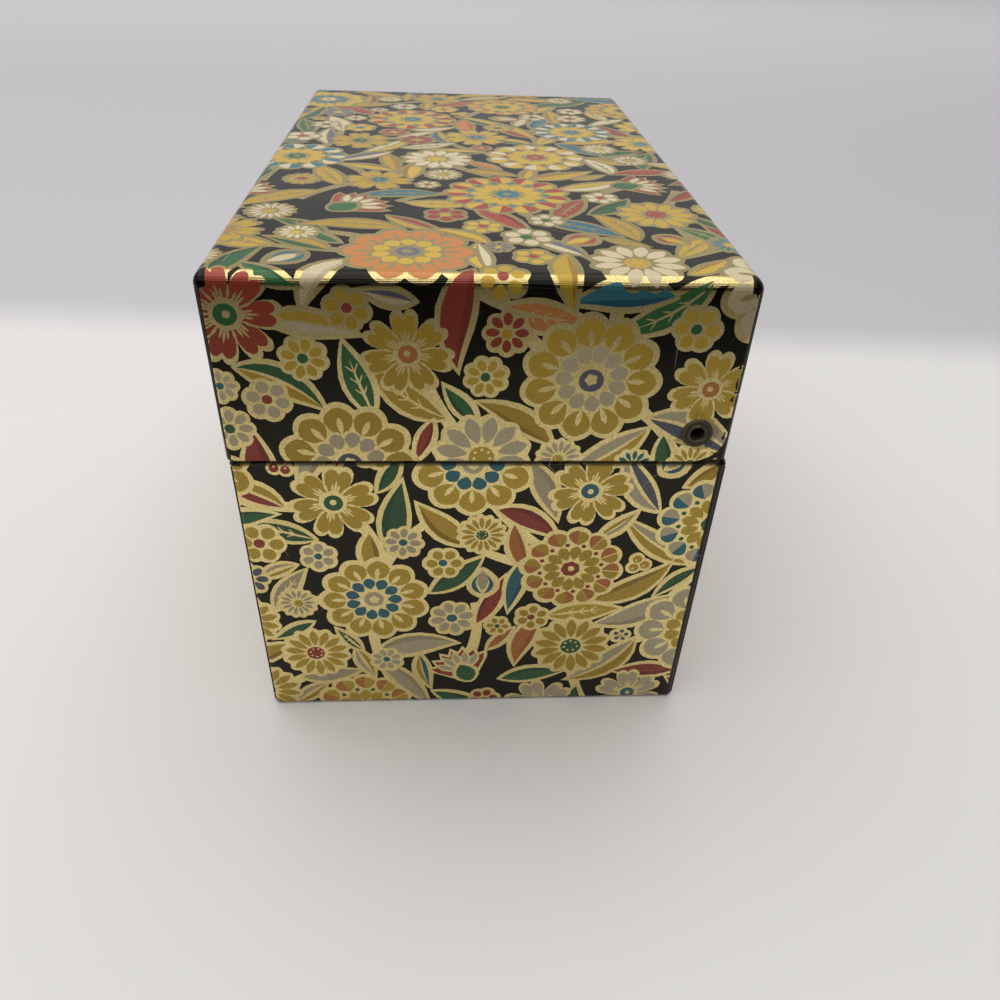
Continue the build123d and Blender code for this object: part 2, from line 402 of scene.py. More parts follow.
def band(length, bend, half_start, half_end):
    """A stem on an arc, tapering from one half width to the other."""
    left, right = [], []
    steps = 10
    for k in range(steps + 1):
        t = k / steps
        x, y, heading = arc_point(length * t, bend)
        half = half_start + (half_end - half_start) * t
        nx, ny = -math.sin(heading), math.cos(heading)
        left.append((x + nx * half, y + ny * half))
        right.append((x - nx * half, y - ny * half))
    return left + right[::-1]


# flowers of radius r: each gives a list of (ink, outline), the lowest first
def rosette(r, rng):
    """Large flower: lobes split in two tones round a ring of dots and a star."""
    lobes = rng.choice((11, 12, 13))
    tones = rng.choice((
        ("orange", "mustard"), ("teal", "cream"), ("mustard", "orange"), ("mustard", "cream"),
        ("brick", "mustard"),
    ))
    heart = rng.choice(("green", "teal", "brick"))
    step = 2 * math.pi / lobes
    shapes = [("gold", scallop(r + OUTLINE, lobes, 0.11, 0.8))]
    half = r * 0.92 * math.sin(step / 2) - INNER_LINE / 2
    for k in range(lobes):
        for side, ink in zip((1, -1), tones):
            shapes.append((ink, petal(k * step, 0.64 * r, r, half, 1.3, 0.5, 7, side)))
    for k in range(lobes):
        a = (k + 0.5) * step
        shapes.append((heart, disc(0.05 * r, 0.64 * r * math.cos(a), 0.64 * r * math.sin(a))))
    half = 0.56 * r * math.sin(step / 2) - INNER_LINE * 0.35
    shapes += petals("mustard", lobes, 0.25 * r, 0.61 * r, half, 1.25, 0.65, 6)
    shapes.append((heart, scallop(0.2 * r, 7, 0.1)))
    shapes.append(("gold", disc(0.07 * r)))
    return shapes


def wheel(r, rng):
    """Large flower: two rows of round petals that sit between each other."""
    lobes = rng.choice((9, 10, 11))
    outer = rng.choice(("mustard", "mustard", "orange", "cream", "mustard"))
    inner = rng.choice(("brick", "teal", "cream")) if outer == "mustard" else "mustard"
    step = 2 * math.pi / lobes
    shapes = [("gold", scallop(r + OUTLINE, lobes, 0.13, 0.9))]
    half = r * 0.88 * math.sin(step / 2) - INNER_LINE / 2
    for k in range(lobes):
        shapes.append((outer, petal(k * step, 0.5 * r, r, half, 1.25, 0.6, 8)))
        shapes.append(("gold", petal(k * step, 0.5 * r, 0.82 * r, 0.05 * r, 1.3, 0.8, 5)))
    shapes.append(("gold", scallop(0.6 * r, lobes, 0.14, 0.9, step / 2)))
    half = r * 0.52 * math.sin(step / 2) - INNER_LINE / 2
    shapes += petals(inner, lobes, 0.27 * r, 0.55 * r, half, 1.2, 0.6, 6, offset=0.5)
    shapes.append(("slate" if inner != "teal" else "cream", disc(0.19 * r)))
    shapes.append(("gold", scallop(0.1 * r, 5, 0.25)))
    return shapes


def daisy(r, rng):
    """Pointed narrow petals round a domed middle."""
    lobes = rng.choice((12, 13, 14, 15))
    ink = rng.choice(("cream", "teal", "cream", "mustard", "mustard", "cream"))
    heart = "mustard" if ink not in ("mustard", "orange") else rng.choice(("brick", "green"))
    half = r * 0.74 * math.sin(2 * math.pi / lobes / 2) - INNER_LINE * 0.3
    shapes = [("gold", scallop(r + OUTLINE * 0.8, lobes, 0.1, 1.4))]
    shapes += petals(ink, lobes, 0.34 * r, r, half, 1.15, 0.7, 6)
    shapes.append((heart, disc(0.28 * r)))
    seeds = 7
    for k in range(seeds):
        a = 2 * math.pi * k / seeds
        shapes.append(("gold", disc(0.035 * r, 0.18 * r * math.cos(a), 0.18 * r * math.sin(a))))
    return shapes


def notched(r, rng):
    """Broad petals, each with a notch at its tip and three fine rays."""
    lobes = rng.choice((6, 7))
    ink = rng.choice(("mustard", "cream", "mustard", "mustard", "cream", "brick"))
    heart = rng.choice(("green", "teal", "orange"))
    step = 2 * math.pi / lobes
    # half a petal: share of its width, from the notch out to its side, and reach there
    half_petal = ((0.045, 0.93), (0.11, 0.985), (0.19, 1.0), (0.27, 0.965), (0.36, 0.88), (0.44, 0.7))
    tip = [(-0.5, 0.5)] + [(-share, reach) for share, reach in reversed(half_petal)]
    tip += [(0.0, 0.86), *half_petal]
    shapes = []
    for grow, tone in ((OUTLINE, "gold"), (0.0, ink)):
        outline = []
        for k in range(lobes):
            for share, reach in tip:
                a = k * step + share * step
                d = r * reach + grow
                outline.append((d * math.cos(a), d * math.sin(a)))
        shapes.append((tone, outline))
    shapes += petals("gold", lobes, 0.3 * r, 0.62 * r, 0.035 * r, 1.0, 0.9, 4, offset=0.5)
    for k in range(lobes):
        for lean in (-0.16, 0, 0.16):
            end = 0.66 * r if lean == 0 else 0.56 * r
            shapes.append(("gold", petal(k * step + lean, 0.3 * r, end, 0.03 * r, 0.9, 0.8, 4)))
    shapes.append(("gold", scallop(0.37 * r, lobes, 0.12, 1.0)))
    shapes.append((heart, disc(0.24 * r)))
    shapes.append(("gold", disc(0.085 * r)))
    return shapes


def fan(r, rng):
    """Half-open flower seen from the side: toothed fan over a cup."""
    ink = rng.choice(("brick", "mustard", "mustard"))
    spread, teeth = 1.15, 7
    shapes = []
    for grow, tone in ((OUTLINE, "gold"), (0.0, ink)):
        notch, tooth = 0.8 * r + grow, 1.02 * r + grow
        outline = [(-0.62 * r - grow, 0.0), (-0.5 * r, -0.17 * r - grow)]
        for k in range(teeth):
            a0 = -spread + 2 * spread * k / teeth
            a1 = -spread + 2 * spread * (k + 0.5) / teeth
            outline.append((notch * math.cos(a0) - 0.3 * r, notch * math.sin(a0)))
            outline.append((tooth * math.cos(a1) - 0.3 * r, tooth * math.sin(a1)))
        outline.append((notch * math.cos(spread) - 0.3 * r, notch * math.sin(spread)))
        outline.append((-0.5 * r, 0.17 * r + grow))
        shapes.append((tone, outline))
    ray, line = (0.3 * r, 0.88 * r, 0.09 * r), (0.22 * r, 0.95 * r, 0.15 * r)
    for k in range(5):
        for tone, form in (("gold", line), ("cream", ray)):
            shapes.append((tone, turned(petal(-0.8 + 0.4 * k, *form, 1.2, 0.8, 5), -0.3 * r, 0, 0)))
    cup, line = (-0.45 * r, 0.3 * r, 0.3 * r), (-0.55 * r, 0.42 * r, 0.42 * r)
    for tone, form in (("gold", line), ("green", cup)):
        shapes.append((tone, turned(petal(0, *form, 0.9, 0.7, 6), -0.2 * r, 0, 0)))
    return shapes


def tulip(r, rng):
    """Closed flower seen from the side: two outer petals round a middle one."""
    pairs = (("brick", "mustard"), ("mustard", "cream"), ("teal", "cream"), ("mustard", "brick"))
    outer, middle = rng.choice(pairs)
    shapes = [("gold", petal(0, -0.75 * r - OUTLINE, r + OUTLINE, 0.66 * r + OUTLINE, 0.85, 0.75, 8))]
    shapes.append((middle, petal(0, -0.4 * r, r, 0.3 * r, 0.9, 0.8, 7)))
    steps = 8
    for side in (1, -1):
        wing = []
        for k in range(steps + 1):
            t = k / steps
            bulge = side * 0.12 * r * t
            if 0 < k < steps:
                bulge = side * 0.6 * r * math.sin(math.pi * t ** 0.8) ** 0.8
            wing.append((-0.72 * r + 1.6 * r * t, bulge))
        for k in range(steps - 2, 0, -1):
            t = k / steps
            hollow = side * (0.3 * r * math.sin(math.pi * t ** 1.1) + INNER_LINE * 0.4)
            wing.append((-0.72 * r + 1.6 * r * t, hollow))
        shapes.append((outer, wing))
    return shapes


def blossom(r, rng):
    """Small flower of round petals."""
    lobes = rng.choice((5, 6, 8))
    ink = rng.choice(("cream", "cream", "mustard", "mustard", "brick", "cream", "slate"))
    heart = rng.choice(("green", "teal", "brick")) if ink in ("mustard", "cream") else "mustard"
    half = r * 0.72 * math.sin(2 * math.pi / lobes / 2) - INNER_LINE * 0.35
    shapes = [("gold", scallop(r + OUTLINE * 0.7, lobes, 0.14, 0.9))]
    shapes += petals(ink, lobes, 0.34 * r, r, half, 1.1, 0.5, 5)
    shapes.append((heart, disc(0.25 * r)))
    return shapes


def berries(r, rng):
    """Three round berries close together."""
    ink = rng.choice(("brick", "mustard", "cream", "mustard"))
    shapes = []
    places = [(0.52 * r * math.cos(a), 0.52 * r * math.sin(a)) for a in (0.3, 2.4, 4.5)]
    for x, y in places:
        shapes.append(("gold", disc(0.42 * r + OUTLINE * 0.6, x, y)))
    for x, y in places:
        shapes.append((ink, disc(0.4 * r, x, y)))
        shapes.append(("gold", disc(0.1 * r, x + 0.1 * r, y + 0.1 * r)))
    return shapes


SPLIT_WITH = {"green": "mustard", "mustard": "cream", "teal": "mustard", "brick": "mustard"}


def leaf(length, half, bend, ink, style):
    """One leaf in its gold outline. style is plain, ribbed or split."""
    outer = blade(-OUTLINE, length + 1.3 * OUTLINE, half + OUTLINE, bend)
    shapes = [("gold", outer)]
    if style == "split":
        line = INNER_LINE * 0.5 / half
        shapes.append((ink, blade(0, length, half, bend, sides=(1, line))))
        shapes.append((SPLIT_WITH.get(ink, "slate"), blade(0, length, half, bend, sides=(-line, -1))))
    else:
        shapes.append((ink, blade(0, length, half, bend)))
        if style == "plain":
            shapes.append((ink, blade(0.5, length - 0.4, half, bend, sides=(1, 0.45)), 1.0))
        if style == "ribbed":
            shapes.append(("gold", blade(-0.3, length * 0.8, 0.26, bend, steps=7)))
            for k in (0.28, 0.44, 0.6):
                for side in (1, -1):
                    x, y, heading = arc_point(length * k, bend)
                    rib = blade(0, half * 0.95, 0.17, 0.0, steps=3)
                    shapes.append(("gold", turned(rib, x, y, heading + side * 0.62)))
    return shapes


def new_blank(left, low, right, high, region):
    """An empty flat sheet: where it can be printed, and what is taken so far."""
    across = int((right - left) / CELL) + 1
    up = int((high - low) / CELL) + 1
    blank = {"left": left, "low": low, "right": right, "high": high, "under": [], "over": []}
    blank["flowers"] = np.zeros((up, across), bool)
    blank["leaves"] = np.zeros((up, across), bool)
    blank["printed"] = np.zeros((up, across), bool)
    for outline in region:
        take(outline, blank, "printed")
    blank["area"] = blank["printed"].sum() * CELL * CELL
    return blank


def cells_in(outline, blank):
    """The grid cells that lie in an outline: their rows, columns and a mask."""
    xs = [p[0] for p in outline]
    ys = [p[1] for p in outline]
    up, across = blank["flowers"].shape
    c0 = min(max(int((min(xs) - blank["left"]) / CELL), 0), across)
    c1 = min(max(int((max(xs) - blank["left"]) / CELL) + 1, 0), across)
    r0 = min(max(int((min(ys) - blank["low"]) / CELL), 0), up)
    r1 = min(max(int((max(ys) - blank["low"]) / CELL) + 1, 0), up)
    x = blank["left"] + (np.arange(c0, c1) + 0.5)[None, :] * CELL
    y = blank["low"] + (np.arange(r0, r1) + 0.5)[:, None] * CELL
    mask = np.zeros((r1 - r0, c1 - c0), bool)
    for (ax, ay), (bx, by) in zip(outline, outline[1:] + outline[:1]):
        if ay != by:
            mask ^= ((ay > y) != (by > y)) & (x < (bx - ax) * (y - ay) / (by - ay) + ax)
    return slice(r0, r1), slice(c0, c1), mask


def room(outline, blank):
    """Shares of an outline that are free, over flowers and over leaves, counting only the blank."""
    rows, columns, mask = cells_in(outline, blank)
    mask = mask & blank["printed"][rows, columns]
    cells = mask.sum()
    if cells < 4:
        return 0.0, 1.0, 1.0
    flowers = (mask & blank["flowers"][rows, columns]).sum()
    leaves = (mask & blank["leaves"][rows, columns] & ~blank["flowers"][rows, columns]).sum()
    return (cells - flowers - leaves) / cells, flowers / cells, leaves / cells


def take(outline, blank, kind):
    """Marks an outline's cells as taken by flowers, by leaves or as ground to print."""
    rows, columns, mask = cells_in(outline, blank)
    blank[kind][rows, columns] |= mask


def plant(blank, layer, shapes, x, y, angle, tone):
    """Puts a motif's shapes on the sheet, all printed in one tone but for those that give their own."""
    for ink, outline, *own in shapes:
        blank[layer].append((ink, turned(outline, x, y, angle), own[0] if own else tone))


def scatter_flowers(blank, rng, kinds, centres, least, most, gap, area_each, tries=30):
    """Throws flowers of one size range at the sheet, keeping those that fit between the others."""
    wanted = blank["area"] / area_each
    made = 0
    for _ in range(int(wanted * tries)):
        if made >= wanted:
            break
        r = rng.uniform(least, most)
        x = rng.uniform(blank["left"] - r * 0.5, blank["right"] + r * 0.5)
        y = rng.uniform(blank["low"] - r * 0.5, blank["high"] + r * 0.5)
        if any(math.hypot(x - cx, y - cy) < r + cr + gap for cx, cy, cr in centres):
            continue
        rows, columns, mask = cells_in(disc(r, x, y), blank)
        on_sheet = (mask & blank["printed"][rows, columns]).sum() * CELL * CELL
        if on_sheet <= 0.3 * math.pi * r * r:
            continue
        kind = rng.choice(kinds)
        plant(blank, "over", kind(r, rng), x, y, rng.uniform(0, 2 * math.pi), rng.uniform(0, 0.5))
        take(disc(r + OUTLINE, x, y), blank, "flowers")
        centres.append((x, y, r))
        made += 1


LEAF_INKS = (
    "mustard", "green", "mustard", "teal", "mustard", "cream", "green", "mustard", "brick", "mustard",
    "green", "cream", "brick", "mustard", "orange",
)


def try_leaf(blank, rng, x, y, angle, length, half, bend, most_flower=0.5, most_leaf=0.12):
    """Grows a leaf if there is room for it, and says whether it did."""
    outer = turned(blade(-OUTLINE, length + OUTLINE, half + OUTLINE, bend), x, y, angle)
    _, flower, green = room(outer, blank)
    if flower > most_flower or green > most_leaf:
        return False
    style = rng.choice(("plain", "plain", "plain", "ribbed", "split"))
    shapes = leaf(length, half, bend, rng.choice(LEAF_INKS), style)
    plant(blank, "under", shapes, x, y, angle, rng.uniform(0, 0.6))
    take(outer, blank, "leaves")
    return True


def along_stem(distance, bend, x, y, angle):
    """A place on a stem that sets out from x, y, and the stem's heading there."""
    px, py, heading = arc_point(distance, bend)
    place, = turned([(px, py)], x, y, angle)
    return *place, angle + heading


def grow_sprig(blank, rng, x, y, angle, skip, length):
    """A gold stem with leaves to either side and one at its end, the first ones past skip."""
    bend = rng.uniform(0.015, 0.05) * rng.choice((-1, 1))
    stem = turned(band(skip + length, bend, 1.3, 0.8), x, y, angle)
    if room(stem, blank)[2] > 0.25:
        return
    at = skip + rng.uniform(0.5, 3)
    side = rng.choice((-1, 1))
    grown = 0
    while at < skip + length - 3:
        px, py, heading = along_stem(at, bend, x, y, angle)
        size = rng.uniform(10, 18)
        curl = side * rng.uniform(0.02, 0.07)
        heading += side * rng.uniform(0.45, 0.75)
        grown += try_leaf(blank, rng, px, py, heading, size, size * rng.uniform(0.1, 0.15), -curl * 0.7)
        at += rng.uniform(4.0, 6.5)
        side = -side
    px, py, heading = along_stem(skip + length, bend, x, y, angle)
    size = rng.uniform(11, 16)
    grown += try_leaf(blank, rng, px, py, heading, size, size * rng.uniform(0.13, 0.17), bend)
    if grown:
        blank["under"].insert(0, ("gold", stem, 0))
        take(stem, blank, "leaves")


def bare_spots(blank, rng, count):
    """Points picked from the ground that nothing covers yet."""
    rows, columns = np.nonzero(blank["printed"] & ~blank["flowers"] & ~blank["leaves"])
    for _ in range(count if len(rows) else 0):
        k = rng.randrange(len(rows))
        x = blank["left"] + (columns[k] + rng.random()) * CELL
        yield x, blank["low"] + (rows[k] + rng.random()) * CELL


def fill_with_leaves(blank, rng, lengths, area_each, least_free):
    """Puts single leaves where the most ground is left, each the best of a few tries."""
    tries = 10
    for _ in range(int(blank["area"] / area_each)):
        best, best_free = None, least_free
        for x, y in bare_spots(blank, rng, tries):
            angle = rng.uniform(0, 2 * math.pi)
            length = rng.uniform(*lengths)
            half = length * rng.uniform(0.11, 0.15)
            ahead = rng.uniform(0.0, 0.6) * length
            x, y = x - ahead * math.cos(angle), y - ahead * math.sin(angle)
            bend = rng.uniform(-0.06, 0.06)
            outer = turned(blade(-OUTLINE, length + OUTLINE, half + OUTLINE, bend), x, y, angle)
            free, _, green = room(outer, blank)
            if green < 0.14 and free > best_free:
                best, best_free = (x, y, angle, length, half, bend), free
        if best:
            try_leaf(blank, rng, *best, most_flower=0.6, most_leaf=0.15)


def fill_with_small(blank, rng, kinds, least, most, area_each, least_free):
    """Puts small motifs in the gaps that will hold them whole."""
    margin = 0.4
    for x, y in bare_spots(blank, rng, int(blank["area"] / area_each)):
        r = rng.uniform(least, most)
        outer = disc(r + margin, x, y)
        free, flower, _ = room(outer, blank)
        if free > least_free and flower < 0.05:
            motif = rng.choice(kinds)(r, rng)
            plant(blank, "over", motif, x, y, rng.uniform(0, 2 * math.pi), rng.uniform(0, 0.5))
            take(outer, blank, "flowers")


def compose(blank, seed):
    """Fills a blank with flowers, sprigs and leaves. Areas are mm2 of print to each motif or try."""
    rng = random.Random(seed)
    centres = []
    scatter_flowers(blank, rng, (rosette, wheel), centres, 8.6, 11.2, gap=4.5, area_each=1050)
    bigs = list(centres)
    scatter_flowers(
        blank, rng, (notched, daisy, notched, fan), centres, 5.8, 7.8, gap=2.2, area_each=560)
    mids = centres[len(bigs):]
    scatter_flowers(
        blank, rng, (blossom, daisy, blossom, tulip), centres, 2.9, 4.2, gap=1.2, area_each=290)
    for flowers, sprigs, apart, lengths in ((bigs, 4, 1.57, (9, 16)), (mids, 3, 2.1, (8, 14))):
        for x, y, r in flowers:
            start = rng.uniform(0, 2 * math.pi)
            for k in range(sprigs):
                angle = start + k * apart + rng.uniform(-0.3, 0.3)
                grow_sprig(blank, rng, x, y, angle, r, rng.uniform(*lengths))
    fill_with_leaves(blank, rng, (12, 18), area_each=150, least_free=0.52)
    fill_with_small(blank, rng, (blossom, blossom, berries), 2.0, 2.7, area_each=14, least_free=0.84)
    fill_with_leaves(blank, rng, (7, 11), area_each=120, least_free=0.58)
    fill_with_small(blank, rng, (blossom, berries), 1.5, 1.9, area_each=20, least_free=0.88)


# the flat print is cut into pieces of one ink each and folded round the shell
INK_SLIP = {        # how far each ink printed off the gold, mm
    "mustard": (0.12, -0.08), "cream": (-0.07, 0.1), "orange": (0.1, 0.12), "brick": (-0.12, -0.05),
    "green": (0.05, -0.14), "teal": (-0.1, 0.07), "slate": (0.14, 0.03),
}
FILM = 0.02         # height of the print above the enamel, mm
STRIPS = 8          # flat strips round each 90 degree bend
SQUARE = 14.0       # side of the squares in which the print is cut out, mm
NEAREST = 1e-5      # points closer than this are taken for one when it is cut, mm
SLIVER = 1e-6       # twice the area under which a triangle is left out, mm2


def anticlockwise(outline):
    """The outline run anticlockwise, which is how the cutting tells its inside."""
    area = sum(ax * by - bx * ay for (ax, ay), (bx, by) in zip(outline, outline[1:] + outline[:1]))
    return outline if area > 0 else outline[::-1]


def boxes_of(outlines):
    """The lowest and highest x and y of each outline."""
    boxes = []
    for outline in outlines:
        xs, ys = zip(*outline)
        boxes.append((min(xs), min(ys), max(xs), max(ys)))
    return np.array(boxes)


def cut_into_inks(blank, region, holes, folds):
    """The sheet as triangles, each with the ink that lies on top there. Bare ground is left out.
    It is worked square by square, because each square's outlines are few."""
    layers = [("ground", outline, 0) for outline in region] + blank["under"] + blank["over"]
    layers += [("hole", outline, 0) for outline in holes]
    slipped = []
    for ink, outline, _ in layers:
        dx, dy = INK_SLIP.get(ink, (0, 0))
        slipped.append(anticlockwise([(x + dx, y + dy) for x, y in outline]))
    boxes, spans = boxes_of(slipped), boxes_of(folds)
    corners, inks, tones = [], [], []
    for x0 in np.arange(blank["left"], blank["right"], SQUARE):
        for y0 in np.arange(blank["low"], blank["high"], SQUARE):
            x1, y1 = x0 + SQUARE, y0 + SQUARE
            near = [
                np.nonzero((b[:, 0] <= x1) & (b[:, 2] >= x0) & (b[:, 1] <= y1) & (b[:, 3] >= y0))[0]
                for b in (boxes, spans)
            ]
            ground = int((near[0] < len(region)).sum())
            if not ground:
                continue
            points = [Vector(p) for p in ((x0, y0), (x1, y0), (x1, y1), (x0, y1))]
            outlines, lines = [[0, 1, 2, 3]], []
            for k in near[0]:
                outlines.append(list(range(len(points), len(points) + len(slipped[k]))))
                points += [Vector(p) for p in slipped[k]]
            for k in near[1]:
                lines.append((len(points), len(points) + 1))
                points += [Vector(p) for p in folds[k]]
            flat, _, pieces, _, _, owners = delaunay_2d_cdt(points, lines, outlines, 1, NEAREST, True)
            for piece, owner in zip(pieces, owners):
                if 0 in owner and any(1 <= k <= ground for k in owner):
                    top, _, tone = layers[near[0][max(owner) - 1]]
                    if top not in ("ground", "hole"):
                        corners += [tuple(flat[k]) for k in piece]
                        inks.append(top)
                        tones.append(tone)
    flat, index = np.unique(np.round(np.array(corners), 4), axis=0, return_inverse=True)
    index = index.reshape(-1, 3)
    (ax, ay), (bx, by), (cx, cy) = (flat[index[:, k]].T for k in range(3))
    twice_area = (bx - ax) * (cy - ay) - (by - ay) * (cx - ax)
    whole = np.nonzero(np.abs(twice_area) > SLIVER)[0]
    return flat, index[whole], [inks[k] for k in whole], [tones[k] for k in whole]


def make_film(name, body, triangles, inks, tones, folded, normals, chart):
    """The print as one object, with one material slot for each ink and a tone for each shape."""
    mesh = bpy.data.meshes.new(name)
    mesh.from_pydata((folded * MM).tolist(), [], triangles.tolist())
    order = sorted(set(inks))
    for ink in order:
        mesh.materials.append(ink_finishes[ink])
    mesh.polygons.foreach_set("material_index", np.array([order.index(ink) for ink in inks], np.int32))
    mesh.polygons.foreach_set("use_smooth", np.ones(len(inks), bool))
    depth = mesh.attributes.new("tone", "FLOAT", "FACE")
    depth.data.foreach_set("value", np.array(tones, np.float32))
    layer = mesh.uv_layers.new(name="OFBake")
    layer.data.foreach_set("uv", chart.astype(np.float32).ravel())
    mesh.update()
    mesh.normals_split_custom_set_from_vertices(normals.tolist())
    film = bpy.data.objects.new(name, mesh)
    bpy.context.scene.collection.objects.link(film)
    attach(film, body)


# inks: each with its lighter and deeper tone, a fine print grain, marks of handling, grime round the hinge
# and painted shade under the lid's lower edge
grime, grime_in, grime_out = new_group("grime_round_hinge", {"Reach": 4.2 * MM}, {"Grime": "Float"})
spot = put(grime, "TexCoord").outputs["Object"]
distance = from_hinge(grime, spot)
ragged = sums(grime, "SUBTRACT", 0.5, noise(grime, spot, 420.0, 5.0))
distance = sums(grime, "MULTIPLY_ADD", ragged, 6 * MM, distance)
near = ramp(grime, sums(grime, "DIVIDE", distance, grime_in["Reach"]), 0.72, 1.0, 1.0, 0.0)
feed(grime, grime_out, {"Grime": near})


def ink_finish(name, light, deep, metallic, grain_scale=2400.0, grain_share=0.03):
    """One printed ink. The thin ones let some of the bright ground through, as metallic."""
    material, tree, surface = new_finish(name)
    spot = put(tree, "TexCoord").outputs["Object"]
    grain = ramp(tree, noise(tree, spot, grain_scale, 2.0), 0.42, 0.62)
    tone = put(tree, "Attribute", attribute_name="tone").outputs["Fac"]
    cloud = sums(tree, "MULTIPLY", noise(tree, spot, 70.0, 4.0), 0.1)
    share = sums(tree, "MULTIPLY_ADD", grain, grain_share, cloud)
    share = sums(tree, "MULTIPLY_ADD", tone, 0.8, share, clamp=True)
    marked = use_group(tree, marks, {"Scratches": 0.3, "Specks": 0.35})
    paint = stain(tree, blend(tree, share, light, deep), marked["Scratch"], 0.35, linear(225, 212, 176))
    dirty = use_group(tree, grime, {"Reach": 3.6 * MM})["Grime"]
    height = axes(tree, spot)["Z"]
    # painted shade: the print on the base darkens towards (30, 25, 20) and turns rougher just below the lid's
    # lower edge, where the lid shades it
    shade_under_lid = ramp(tree, height, (seam_z - 1.25) * MM, (seam_z - 0.45) * MM)
    below_hem = ramp(tree, height, (seam_z - 0.06) * MM, seam_z * MM, 0.92, 0.0)
    shade_under_lid = sums(tree, "MULTIPLY", shade_under_lid, below_hem)
    dark = sums(tree, "MULTIPLY", marked["Speck"], 0.7)
    dark = sums(tree, "MAXIMUM", dark, sums(tree, "MULTIPLY", dirty, 0.3))
    dark = sums(tree, "MAXIMUM", dark, shade_under_lid)
    rough = sums(tree, "MULTIPLY_ADD", dirty, 0.2, sums(tree, "MULTIPLY_ADD", grain, 0.04, 0.24))
    feed(tree, surface, {
        "Base Color": blend(tree, dark, paint, linear(30, 25, 20)),
        "Metallic": metallic,
        "Roughness": sums(tree, "MULTIPLY_ADD", shade_under_lid, 0.4, rough),
        "Specular IOR Level": 0.5,
        "Normal": use_group(tree, waves, {"Waves": 0.65, "Lines": 1.0})["Normal"],
    })
    return material


ink_finishes = {
    "gold": ink_finish("gold_lacquer", (0.88, 0.72, 0.33, 1), (0.66, 0.52, 0.21, 1), 1.0, 3000.0, 0.75),
    "mustard": ink_finish("mustard_ink", linear(240, 200, 70), linear(164, 122, 24), 0.16),
    "cream": ink_finish("cream_ink", linear(242, 226, 184), linear(202, 182, 138), 0.08),
    "orange": ink_finish("orange_ink", linear(228, 150, 78), linear(196, 106, 50), 0.16),
    "brick": ink_finish("brick_ink", linear(190, 80, 54), linear(134, 48, 36), 0.14),
    "green": ink_finish("green_ink", linear(62, 122, 66), linear(30, 78, 42), 0.14),
    "teal": ink_finish("teal_ink", linear(66, 136, 146), linear(28, 88, 106), 0.1),
    "slate": ink_finish("slate_ink", linear(122, 124, 136), linear(78, 76, 94), 0.1),
}

# the lid's blank: a cross whose arms fold down over the four walls. Its arms are written as
# distance past the flat top's edge and place along it
lid_end, lid_half_depth, lid_middle_y, lid_top = 68.2, 41.75, -0.325, 92.5
top_bend, lid_corner, hem_bend = 2.0, 1.2, 0.288
hem_turned = 65      # how far round the hem's fold the print goes, degrees
flat_x, flat_y = lid_end - top_bend, lid_half_depth - top_bend
turn = top_bend * math.pi / 2
side_drop = lid_top - top_bend - seam_z
wall_y = lid_half_depth - 1.0        # how far the print reaches along the end walls
wall_x = lid_end - 1.2
ear_y, ear_z, ear_radius = hinge_y - lid_middle_y, seam_z + 5.3, 5.15
hem_end = hinge_y - 5.6
hem_corner = lid_half_depth - lid_corner - 0.15
hem_side = lid_end - lid_corner - 0.15


def down(z):
    """Distance from the flat top's edge to height z on a wall, along the sheet."""
    return turn + lid_top - top_bend - z


under_bend = turn + 0.3              # the arms narrow here from the flat top to the walls
over_hem = down(seam_z + 0.35)       # and here from the walls to the hem
on_hem = down(seam_z + hem_bend * (1 - math.radians(hem_turned)))
ear_low = down(seam_z + 0.15)
back_low = down(lid_back_edge_z + 0.35)
narrower = 0.05                      # taken off both ends of the hem's fold


def end_arm(side):
    """Outline of the arm for one end wall, as far as its hem, ear and corners."""
    ear_back = ear_y + ear_radius
    reach = [
        (turn, -flat_y), (under_bend, -wall_y), (over_hem, -wall_y - 0.4),
        (over_hem, -hem_corner), (on_hem, -hem_corner + narrower), (on_hem, hem_end),
        (over_hem, hem_end + narrower), (over_hem, hinge_y - 5.4), (ear_low, hinge_y - 5.3), (ear_low, ear_y),
    ]
    for k in range(1, STRIPS + 1):
        a = math.radians(90 * k / STRIPS)
        reach.append((down(ear_z - ear_radius * math.cos(a)), ear_y + ear_radius * math.sin(a)))
    reach += [(down(lid_back_edge_z), ear_back), (down(lid_back_edge_z + 0.4), ear_back)]
    reach += [(under_bend, ear_back), (turn, flat_y)]
    outline = [(side * (flat_x + d), v) for d, v in reach]
    return outline if side > 0 else outline[::-1]


front_arm = [
    (-flat_x, turn), (-wall_x, under_bend), (-wall_x - 0.3, over_hem), (-hem_side, over_hem),
    (-hem_side + narrower, on_hem), (hem_side - narrower, on_hem), (hem_side, over_hem),
    (wall_x + 0.3, over_hem), (wall_x, under_bend), (flat_x, turn),
]
back_arm = [
    (-flat_x, turn), (-wall_x, under_bend), (-wall_x, back_low), (wall_x, back_low),
    (wall_x, under_bend), (flat_x, turn),
]
lid_region = [
    end_arm(1) + [(flat_x, flat_y)] + [(u, flat_y + d) for u, d in reversed(back_arm)]
    + [(-flat_x, flat_y)] + end_arm(-1)
    + [(-flat_x, -flat_y)] + [(u, -flat_y - d) for u, d in front_arm] + [(flat_x, -flat_y)]
]
arm, short_arm = 34, 21      # longer than the arms, so that motifs run off their ends
lid_blank = new_blank(-flat_x - arm, -flat_y - arm, flat_x + arm, flat_y + short_arm, lid_region)
compose(lid_blank, seed=7)
lid_hole = 1.7               # radius of the print's hole, under the eyelet's flange
lid_holes = [disc(lid_hole, side * (flat_x + down(hinge_z)), ear_y) for side in (-1, 1)]
lid_folds = []
for k in range(STRIPS + 1):
    step = turn * k / STRIPS
    for side in (-1, 1):
        lid_folds.append(((side * (flat_x + step), -flat_y), (side * (flat_x + step), flat_y)))
        lid_folds.append(((-flat_x, side * (flat_y + step)), (flat_x, side * (flat_y + step))))
